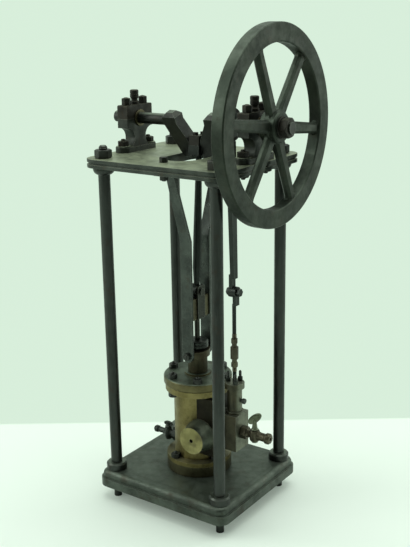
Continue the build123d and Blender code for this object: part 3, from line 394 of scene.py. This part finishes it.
class Piece:
    """Gathers turned, six-sided and threaded shapes, in millimetres, into one mesh object."""

    def __init__(self):
        self.points = []
        self.faces = []

    def skin(self, rings, place, bored=False):
        """Join rings of points into a closed shape: capped at its ends, or closed on itself."""
        first = len(self.points)
        count = len(rings[0])
        for ring in rings:
            self.points += [place @ Vector(point) for point in ring]
        levels = len(rings) if bored else len(rings) - 1
        for level in range(levels):
            low = first + level * count
            high = first + (level + 1) % len(rings) * count
            for side in range(count):
                after = (side + 1) % count
                self.faces.append((low + side, low + after, high + after, high + side))
        if not bored:
            last = first + (len(rings) - 1) * count
            self.faces.append([first + side for side in reversed(range(count))])
            self.faces.append([last + side for side in range(count)])

    def turned(self, profile, place, bored=False, sides=48):
        """Spin points of (radius, height), from the bottom up the outside, about a place's axis."""
        angles = [2 * pi * side / sides for side in range(sides)]
        rings = [[(r * cos(a), r * sin(a), h) for a in angles] for r, h in profile]
        self.skin(rings, place, bored)

    def hexagon(self, flats, height, place, hole=0.0):
        """A nut or bolt head whose corners are worn, and cut back by 30 degrees at both ends."""
        flat_r = NUT_FACE * flats / 2
        corner_r = NUT_CORNER * flats / 2
        slope = tan(radians(30))
        rim = []
        for face in range(6):
            for offset in (-27, -14, 0, 14, 27, 30):
                reach = min(flats / 2 / cos(radians(offset)), corner_r)
                rim.append((radians(60 * face + offset), reach, (reach - flat_r) * slope))
        outline = [
            [(flat_r * cos(a), flat_r * sin(a), 0) for a, reach, cut in rim],
            [(reach * cos(a), reach * sin(a), cut) for a, reach, cut in rim],
            [(reach * cos(a), reach * sin(a), height - cut) for a, reach, cut in rim],
            [(flat_r * cos(a), flat_r * sin(a), height) for a, reach, cut in rim],
        ]
        if hole:
            for level in (height, 0):
                outline.append([(hole / 2 * cos(a), hole / 2 * sin(a), level) for a, reach, cut in rim])
        self.skin(outline, place, bored=bool(hole))

    def thread(self, dia, pitch, length, place, tip=0.0):
        """A screwed rod end: a helical thread that fades at both ends, and a tip cut at 45 degrees."""
        sides, steps_a_turn = 24, 6
        depth = THREAD_DEPTH * pitch
        steps = max(steps_a_turn, ceil(length / pitch * steps_a_turn))
        rings = []
        for step in range(steps + 1):
            height = length * step / steps
            fade = min(1.0, height / pitch, (length - height) / pitch)
            ring = []
            for side in range(sides):
                angle = 2 * pi * side / sides
                crest = fade * (0.5 + 0.5 * cos(2 * pi * height / pitch - angle))
                radius = dia / 2 - depth * (1 - crest)
                ring.append((radius * cos(angle), radius * sin(angle), height))
            rings.append(ring)
        if tip:
            end_r = dia / 2 - depth - tip
            angles = [2 * pi * side / sides for side in range(sides)]
            rings.append([(end_r * cos(a), end_r * sin(a), length + tip) for a in angles])
        self.skin(rings, place)

    def washer(self, dia, hole, thickness, place):
        """A flat ring with softened rims."""
        soft = min(0.25, thickness / 3)
        self.turned([
            (hole / 2, 0), (dia / 2 - soft, 0), (dia / 2, soft), (dia / 2, thickness - soft),
            (dia / 2 - soft, thickness), (hole / 2, thickness),
        ], place, bored=True)

    def oval(self, length, height, thickness, place):
        """A flat oval handle with a raised rim and a dished middle on both faces."""
        sides = 48
        angles = [2 * pi * side / sides for side in range(sides)]
        half = thickness / 2
        # Each pair is a share of the way out and of the half thickness, from the middle to the rim.
        section = (
            (0.12, 0.55), (0.55, 0.5), (0.72, 0.6), (0.82, 0.95), (0.9, 1.0), (0.97, 0.8), (1.0, 0.4),
        )
        faces = [(share, -half * bulge) for share, bulge in section]
        faces += [(share, half * bulge) for share, bulge in reversed(section)]
        rings = []
        for share, level in faces:
            reach, rise = share * length / 2, share * height / 2
            rings.append([(reach * cos(a), rise * sin(a), level) for a in angles])
        self.skin(rings, place)

    def build(self, name, body, node, finish, width=0.12, replaces=True):
        """Make the object, ride it on its body, and let it stand for a CAD node."""
        mesh = bpy.data.meshes.new(name)
        mesh.from_pydata([point * MM for point in self.points], [], self.faces)
        mesh.shade_smooth()
        mesh.set_sharp_from_angle(angle=radians(40))
        mesh.materials.append(finish)
        made = bpy.data.objects.new(name, mesh)
        bpy.context.scene.collection.objects.link(made)
        soften(made, width)
        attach(made, body)
        if replaces:
            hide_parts(node)


def column_nuts():
    """Nuts on the four columns, and the screwed column ends that stand out of them."""
    nut_flats, nut_height, stud_dia, tip, pitch = 15.0, 8.0, 7.6, 1.2, 1.25
    turns = (12, 34, 51, 5)
    deck = span("top_plate")[1].z
    piece = Piece()
    for name, turn in zip(COLUMNS, turns):
        place, top = middle(name), span(name)[1].z
        piece.hexagon(nut_flats, nut_height, stand(place.x, place.y, deck, turn), stud_dia)
        nut_top = deck + nut_height
        outer_dia = stud_dia + 2 * THREAD_DEPTH * pitch
        piece.thread(outer_dia, pitch, top - tip - nut_top, stand(place.x, place.y, nut_top))
    piece.build("screwed_column_nuts", "frame", "column_nuts", NUT)


def oil_cup(piece, place):
    """A small turned oil cup: foot, neck, and a lid with a seam round it."""
    foot_r, neck_r, lid_r, seam = 4.25, 3.3, 4.25, 0.25
    piece.turned([
        (foot_r, 0), (foot_r, 2.6), (foot_r - 0.9, 3.5), (neck_r, 3.7), (neck_r, 5.1), (lid_r - 0.9, 5.5),
        (lid_r, 6.4), (lid_r, 9.6), (lid_r - seam, 9.8), (lid_r - seam, 10.2), (lid_r, 10.4),
        (lid_r, 13.2), (lid_r - 0.9, 14.0),
    ], place)


def bearing_bolts():
    """Cap nuts, flange nuts on pale washers, the nuts under the plate, and the oil cups."""
    cap_spacing, flange_spacing = 25.5, 39.0
    cap_flats, cap_nut_height, cap_dome, dome_step = 8.0, 6.7, 0.8, 1.0
    flats, bolt_dia, thread_length, tip, pitch = 10.2, 5.0, 1.5, 0.5, 0.8
    flange_height, nut_height, washer, washer_dia, lower_height = 5.0, 5.0, 1.2, 14.4, 3.6
    under, deck = span("top_plate")[0].z, span("top_plate")[1].z
    piece, washers = Piece(), Piece()
    for side in ("left", "right"):
        x, cap_top = middle(side + "_bearing_cap").x, span(side + "_bearing_cap")[1].z
        for hand, turn in ((-1, 20), (1, 47)):
            place = stand(x, hand * cap_spacing / 2, cap_top, turn)
            piece.hexagon(cap_flats, cap_nut_height, place)
            dome_r = NUT_FACE * cap_flats / 2 - dome_step
            piece.turned([
                (dome_r, cap_nut_height), (0.8 * dome_r, cap_nut_height + 0.6 * cap_dome),
                (0.4 * dome_r, cap_nut_height + cap_dome),
            ], place)
            y, level = hand * flange_spacing / 2, deck + flange_height
            washers.washer(washer_dia, bolt_dia, washer, stand(x, y, level))
            nut_bottom, lower_end = level + washer, under - lower_height
            piece.hexagon(flats, nut_height, stand(x, y, nut_bottom, turn + 25))
            piece.thread(bolt_dia, pitch, thread_length, stand(x, y, nut_bottom + nut_height), tip)
            piece.hexagon(flats, lower_height, stand(x, y, lower_end, turn))
            piece.thread(bolt_dia, pitch, thread_length, lie(x, y, lower_end, DOWN), tip)
        oil_cup(piece, stand(x, 0, cap_top))
    piece.build("bearing_nuts_and_oil_cups", "frame", "bearing_bolts", RUST)
    washers.build("pale_bearing_washers", "frame", "bearing_bolts", PLATE_TOP, replaces=False)


def guide_bolts():
    """Bolts that hold the guide bars under the plate, and the bolt heads at their lower ends."""
    reach, head_flats, head_height, nut_flats, nut_height = 48.0, 7.0, 5.0, 8.0, 5.0
    rod_dia, rod_end, rod_bevel, bar_thickness, level_head, flange_drop = 4.0, 1.0, 0.4, 3.0, 3.5, 3.5
    crown = ((2.2, 0.6), (1.6, 0.1), (0.8, 0.0))
    under, deck = span("top_plate")[0].z, span("top_plate")[1].z
    flange_z = span("stuffing_box")[1].z - flange_drop
    piece = Piece()
    for hand, bar in ((-1, "front_guide_bar"), (1, "back_guide_bar")):
        x, y = middle(bar).x, hand * reach
        piece.hexagon(head_flats, head_height, stand(x, y, deck, turn=13))
        nut_bottom = under - bar_thickness - nut_height
        piece.hexagon(nut_flats, nut_height, stand(x, y, nut_bottom, turn=40))
        rod_bottom = nut_bottom - rod_end
        piece.turned([
            (rod_dia / 2 - rod_bevel, rod_bottom), (rod_dia / 2, rod_bottom + rod_bevel),
            (rod_dia / 2, nut_bottom),
        ], stand(x, y, 0))
        inner_y = span(bar)[0].y if hand > 0 else span(bar)[1].y
        head = lie(x, inner_y + hand * bar_thickness, flange_z, (0, hand, 0), turn=18)
        piece.hexagon(head_flats, level_head - crown[0][1], head)
        piece.turned([(radius, level_head - drop) for radius, drop in crown], head)
    piece.build("guide_bar_bolts", "frame", "guide_bolts", NUT)


def cylinder_nuts():
    """Nuts on the cover, under its flange and on the lower flange, with their stud ends."""
    circle, flats, height, stud_dia, thread_length, tip, pitch = 58.6, 8.5, 4.6, 4.0, 1.5, 0.5, 0.7
    boss, flange, foot_flange = 2.0, 6.7, 4.5
    axis_x = middle("cylinder").x
    cover_top = span("cylinder_cover")[1].z - boss
    low, high = span("cylinder")
    piece = Piece()
    for count, first_turn, level in ((6, 5.0, cover_top), (4, -20.0, low.z + foot_flange)):
        for number in range(count):
            turn = first_turn + 360 / count * number
            x = axis_x + circle / 2 * cos(radians(turn))
            y = circle / 2 * sin(radians(turn))
            piece.hexagon(flats, height, stand(x, y, level, turn))
            piece.thread(stud_dia, pitch, thread_length, stand(x, y, level + height), tip)
            if level == cover_top and x < axis_x:
                under = high.z - flange - height
                piece.hexagon(flats, height, stand(x, y, under, turn))
    piece.build("cylinder_stud_nuts", "frame", "cylinder_nuts", NUT)


def flywheel_nut():
    """The large nut on the shaft's end, over a washer."""
    flats, height, washer, washer_dia, shaft_dia = 17.0, 9.0, 1.4, 20.0, 11.0
    wheel = middle("flywheel")
    seat = span("flywheel")[1].x
    piece = Piece()
    piece.washer(washer_dia, shaft_dia, washer, lie(seat, 0, wheel.z, RIGHT))
    piece.hexagon(flats, height - washer, lie(seat + washer, 0, wheel.z, RIGHT, turn=8), shaft_dia)
    piece.build("shaft_nut_and_washer", "crank", "flywheel_nut", RUST, 0.2)


def chest_studs():
    """Long screwed studs with pointed ends on the valve chest cover, each with its nut."""
    circle, flats, height, stud_dia, stud_height, tip, pitch = 14.0, 4.5, 4.0, 3.0, 11.0, 1.0, 0.6
    studs, first_turn = 3, 70.0
    centre, top = middle("valve_chest_cover"), span("valve_chest_cover")[1].z
    piece = Piece()
    for number in range(studs):
        turn = first_turn + 360 / studs * number
        x = centre.x + circle / 2 * cos(radians(turn))
        y = circle / 2 * sin(radians(turn))
        piece.hexagon(flats, height, stand(x, y, top, turn))
        piece.thread(stud_dia, pitch, stud_height - height - tip, stand(x, y, top + height), tip)
    piece.build("screwed_chest_studs", "frame", "valve_cover_studs", DARK_NUT)


def coupling():
    """The spindle's six-sided adjusting nut between two lock nuts, with thread showing."""
    end_flats, middle_flats, waist_dia, spindle_dia = 6.1, 7.3, 5.6, 4.0
    end_length, neck_length, neck_cut, thread_shown, pitch = 5.0, 3.5, 0.35, 5.0, 0.7
    centre = middle("valve_coupling")
    low, high = span("valve_coupling")
    piece = Piece()
    piece.hexagon(end_flats, end_length, stand(centre.x, 0, low.z, turn=10), spindle_dia)
    piece.hexagon(end_flats, end_length, stand(centre.x, 0, high.z - end_length, turn=25), spindle_dia)
    nut_bottom, nut_top = low.z + end_length + neck_length, high.z - end_length - neck_length
    nut_place = stand(centre.x, 0, nut_bottom, turn=15)
    piece.hexagon(middle_flats, nut_top - nut_bottom, nut_place, spindle_dia)
    for bottom in (low.z + end_length, nut_top):
        piece.turned([
            (spindle_dia / 2, 0), (waist_dia / 2, 0), (waist_dia / 2 - neck_cut, neck_length / 2),
            (waist_dia / 2, neck_length), (spindle_dia / 2, neck_length),
        ], stand(centre.x, 0, bottom), bored=True)
    thread_dia = spindle_dia + 2 * THREAD_DEPTH * pitch
    for bottom in (low.z - thread_shown, high.z):
        piece.thread(thread_dia, pitch, thread_shown, stand(centre.x, 0, bottom))
    piece.build("spindle_adjuster", "valve", "valve_coupling", BROWN)


def strap_bolts():
    """Bolts through the lugs of the eccentric strap, heads up and nuts down."""
    flats, height, lug_half, lug_reach = 5.5, 2.4, 4.5, 17.8
    strap = middle("eccentric_strap")
    piece = Piece()
    for hand in (-1, 1):
        y = strap.y + hand * lug_reach
        piece.hexagon(flats, height, stand(strap.x, y, strap.z + lug_half, turn=15))
        piece.hexagon(flats, height, stand(strap.x, y, strap.z - lug_half - height, turn=40))
    piece.build("strap_bolts", "strap", "eccentric_strap", NUT, replaces=False)


def neck_plug():
    """A small six-sided plug screwed into the side of the valve chest's neck."""
    flats, head, shank_r, shank, sunk, neck_r, drop = 5.0, 3.2, 2.0, 2.2, 0.3, 7.5, 12.5
    centre, top = middle("valve_chest_cover"), span("valve_chest_cover")[0].z
    root = lie(centre.x + neck_r - sunk, 0, top - drop, RIGHT, turn=10)
    piece = Piece()
    piece.turned([(shank_r, 0), (shank_r, shank + sunk)], root)
    piece.hexagon(flats, head, root @ Matrix.Translation((0, 0, shank)))
    piece.build("chest_neck_plug", "frame", "valve_chest", DARK_NUT, replaces=False)


def gland_ring():
    """The gland: a neck, and a ring with a groove round it and a bore for the piston rod."""
    neck_r, ring_r, neck_height, bore_r, edge, groove = 7.0, 11.0, 2.5, 2.85, 1.2, 0.6
    centre = middle("gland")
    low, high = span("gland")
    height = high.z - low.z
    half = (neck_height + height) / 2
    piece = Piece()
    piece.turned([
        (bore_r, 0), (neck_r, 0), (neck_r, neck_height), (ring_r - groove, neck_height),
        (ring_r, neck_height + groove), (ring_r, half - groove), (ring_r - groove, half),
        (ring_r, half + groove), (ring_r, height - edge), (ring_r - edge, height), (bore_r, height),
    ], stand(centre.x, 0, low.z), bored=True)
    piece.build("grooved_gland", "frame", "gland", DARK_NUT, 0.2)


def cock(
    side, hand, wing_length, wing_height, wing_tilt, wing_rise, body_r, nozzle_r, finish, plug_finish,
):
    """One drain cock: six-sided boss, swelling body, beaded nozzle, and a plug with an oval handle."""
    boss_flats, boss_length, plug_reach, bore_r = 12.0, 7.0, 15.0, 2.56
    pipe_r, body_half, nozzle_length, wing_thickness = 3.25, 5.5, 6.0, 2.4
    low, high = span(side + "_cock")
    root, end = (low.x, high.x) if hand > 0 else (high.x, low.x)
    length, z = abs(end - root), (low.z + high.z) / 2
    plug_x = root + hand * plug_reach
    out = lie(root, 0, z, (hand, 0, 0))
    piece = Piece()
    piece.hexagon(boss_flats, boss_length, out)
    piece.turned([
        (pipe_r + 1.6, boss_length - 0.5), (pipe_r + 0.4, boss_length + 1.0),
        (pipe_r, boss_length + 2.0), (pipe_r + 0.5, plug_reach - body_r + 1.2),
    ], out)
    piece.turned([
        (bore_r, -body_half), (body_r - 1.0, -body_half), (body_r - 0.5, -body_half + 0.9),
        (body_r - 0.1, -2.4), (body_r, 0), (body_r - 0.1, 2.4), (body_r - 0.5, body_half - 0.9),
        (body_r - 1.0, body_half), (bore_r, body_half),
    ], stand(plug_x, 0, z), bored=True)
    nozzle = length - nozzle_length
    outer_r = max(pipe_r - 0.2, nozzle_r - 1.3)
    piece.turned([
        (outer_r + 0.6, plug_reach + body_r - 1.2), (outer_r - 0.1, plug_reach + body_r + 1.4),
        (outer_r, nozzle - 0.6), (nozzle_r - 1.1, nozzle), (nozzle_r, nozzle + 1.4),
        (nozzle_r, length - 1.6), (nozzle_r - 0.9, length - 0.3), (nozzle_r - 1.8, length),
        (1.8, length), (1.5, length - 0.4), (1.5, length - 4.0),
    ], out)
    piece.build("turned_" + side + "_cock", "frame", side + "_cock", finish, 0.2)

    wing_z = body_half + wing_rise
    plug = Piece()
    plug.turned([
        (1.6, -body_half - 2.5), (3.0, -body_half - 2.0), (3.5, -body_half - 1.2),
        (3.5, -body_half - 0.3), (2.5, -body_half - 0.3), (2.5, body_half + 0.3),
        (3.6, body_half + 0.4), (3.8, body_half + 1.2), (2.8, body_half + 2.2),
        (2.0, max(body_half + 2.6, wing_z - 4.0)), (2.1, wing_z - 1.0), (1.6, wing_z),
    ], stand(plug_x, 0, z))
    handle = Matrix.Translation((plug_x, 0, z + wing_z)) @ Matrix.Rotation(radians(-wing_tilt), 4, "Y")
    plug.oval(wing_length, wing_height, wing_thickness, handle @ Matrix.Rotation(radians(90), 4, "X"))
    plug.build("turned_" + side + "_plug", side + "_plug", side + "_cock_plug", plug_finish, 0.15)


column_nuts()
bearing_bolts()
guide_bolts()
cylinder_nuts()
flywheel_nut()
chest_studs()
coupling()
strap_bolts()
neck_plug()
gland_ring()
cock(
    "right", 1, wing_length=19.2, wing_height=8.2, wing_tilt=41.0, wing_rise=12.2, body_r=5.6,
    nozzle_r=5.5, finish=BROWN, plug_finish=HANDLE,
)
cock(
    "left", -1, wing_length=11.0, wing_height=5.0, wing_tilt=0.0, wing_rise=4.5, body_r=4.7,
    nozzle_r=3.7, finish=DARK_NUT, plug_finish=DARK_NUT,
)


def photo_camera():
    """Place the camera at the photograph's viewpoint."""
    elevation, roll = radians(16.06), radians(-0.86)
    target = Vector((12.23, 0, 241.18)) * MM
    distance = 927 * MM
    focal_px, long_side_px, sensor = 938.94, 547, 36
    level_back = Vector((sin(VIEW_AZIMUTH), -cos(VIEW_AZIMUTH), 0))
    back = level_back * cos(elevation) + Vector(UP) * sin(elevation)
    right = Vector((cos(VIEW_AZIMUTH), sin(VIEW_AZIMUTH), 0))
    up = back.cross(right)
    data = bpy.data.cameras.new("photo_camera")
    camera = bpy.data.objects.new("photo_camera", data)
    bpy.context.scene.collection.objects.link(camera)
    turned_right = right * cos(roll) + up * sin(roll)
    turned_up = up * cos(roll) - right * sin(roll)
    camera.matrix_world = Matrix((
        (turned_right.x, turned_up.x, back.x, target.x + back.x * distance),
        (turned_right.y, turned_up.y, back.y, target.y + back.y * distance),
        (turned_right.z, turned_up.z, back.z, target.z + back.z * distance),
        (0, 0, 0, 1),
    ))
    data.sensor_width = sensor
    data.lens = focal_px / long_side_px * sensor
    data.clip_start, data.clip_end = 0.02, 40
    bpy.context.scene.camera = camera


def area_light(name, place, size, power):
    """Add one softbox that looks at the middle of the engine."""
    middle_height = 0.25
    data = bpy.data.lights.new(name, "AREA")
    data.shape = "RECTANGLE"
    data.size, data.size_y = size
    data.energy = power
    data.color = LAMP_COLOUR
    lamp = bpy.data.objects.new(name, data)
    bpy.context.scene.collection.objects.link(lamp)
    lamp.location = place
    lamp.rotation_mode = "QUATERNION"
    aim = Vector((0, 0, middle_height)) - Vector(place)
    lamp.rotation_quaternion = aim.to_track_quat("-Z", "Y")


WALL_COLOUR = (0.69, 0.86, 0.71, 1)


def table():
    """A pale table top that ends in the mint wall a short way behind the engine."""
    reach, table_end, wall_start, lift_share = 6.0, 0.166, 0.172, 0.17
    mesh = bpy.data.meshes.new("studio_floor")
    corners = [(-reach, -reach, 0), (reach, -reach, 0), (reach, reach, 0), (-reach, reach, 0)]
    mesh.from_pydata(corners, [], [(0, 1, 2, 3)])
    floor = bpy.data.objects.new("studio_floor", mesh)
    bpy.context.scene.collection.objects.link(floor)
    g = Graph("studio_floor")
    away = Vector((-sin(VIEW_AZIMUTH), cos(VIEW_AZIMUTH), 0))
    depth = g.node("ShaderNodeVectorMath", {0: g.place, 1: away}, operation="DOT_PRODUCT").outputs["Value"]
    g.feed(g.shader.inputs["Base Color"], (0.84, 0.91, 0.85, 1))
    g.shader.inputs["Roughness"].default_value = 0.75
    g.shader.inputs["Specular IOR Level"].default_value = 0.2
    wall = g.node("ShaderNodeEmission", {"Color": WALL_COLOUR, "Strength": 1.0})
    lift = g.node("ShaderNodeEmission", {"Color": (0.80, 0.94, 0.81, 1), "Strength": 1.0})
    seen = g.node("ShaderNodeLightPath").outputs["Is Camera Ray"]
    near = g.node("ShaderNodeMixShader", {
        0: g.maths("MULTIPLY", seen, lift_share), 1: g.shader.outputs[0], 2: lift.outputs[0],
    })
    choose = g.node("ShaderNodeMixShader", {
        0: g.level(depth, table_end, wall_start), 1: near.outputs[0], 2: wall.outputs[0],
    })
    g.tree.links.new(choose.outputs[0], g.tree.nodes["Material Output"].inputs["Surface"])
    mesh.materials.append(g.material)


def room():
    """Soft light from all round, dimmer on the viewer's side, and the mint wall behind."""
    viewer_side, dim, bright = (0.62, -0.78, 0.0), 0.16, 0.72
    world = bpy.data.worlds.new("studio")
    bpy.context.scene.world = world
    world.use_nodes = True
    tree = world.node_tree
    tree.nodes.clear()
    out = tree.nodes.new("ShaderNodeOutputWorld")
    path = tree.nodes.new("ShaderNodeLightPath")
    light = tree.nodes.new("ShaderNodeBackground")
    light.inputs["Color"].default_value = (0.86, 1.0, 0.88, 1)
    seen = tree.nodes.new("ShaderNodeBackground")
    seen.inputs["Color"].default_value = WALL_COLOUR
    seen.inputs["Strength"].default_value = 1.0
    direction = tree.nodes.new("ShaderNodeTexCoord")
    front = tree.nodes.new("ShaderNodeVectorMath")
    front.operation = "DOT_PRODUCT"
    front.inputs[1].default_value = viewer_side
    fade = tree.nodes.new("ShaderNodeMapRange")
    fade.interpolation_type = "SMOOTHSTEP"
    fade.inputs["From Min"].default_value = -0.1
    fade.inputs["From Max"].default_value = 0.75
    fade.inputs["To Min"].default_value = bright
    fade.inputs["To Max"].default_value = dim
    mix = tree.nodes.new("ShaderNodeMixShader")
    tree.links.new(direction.outputs["Generated"], front.inputs[0])
    tree.links.new(front.outputs["Value"], fade.inputs["Value"])
    tree.links.new(fade.outputs["Result"], light.inputs["Strength"])
    tree.links.new(path.outputs["Is Camera Ray"], mix.inputs[0])
    tree.links.new(light.outputs[0], mix.inputs[1])
    tree.links.new(seen.outputs[0], mix.inputs[2])
    tree.links.new(mix.outputs[0], out.inputs["Surface"])


def studio():
    """Table, wall and soft light from above and both sides; places and sizes in metres, power in watts."""
    table()
    room()
    area_light("top_softbox", (0.1, 0.1, 1.5), (1.4, 1.4), 13.0)
    area_light("left_softbox", (-1.0, -0.85, 0.85), (0.7, 1.2), 9.0)
    area_light("right_softbox", (0.9, 1.0, 0.7), (0.7, 1.2), 4.5)


photo_camera()
studio()
bpy.context.scene.view_settings.view_transform = "Standard"
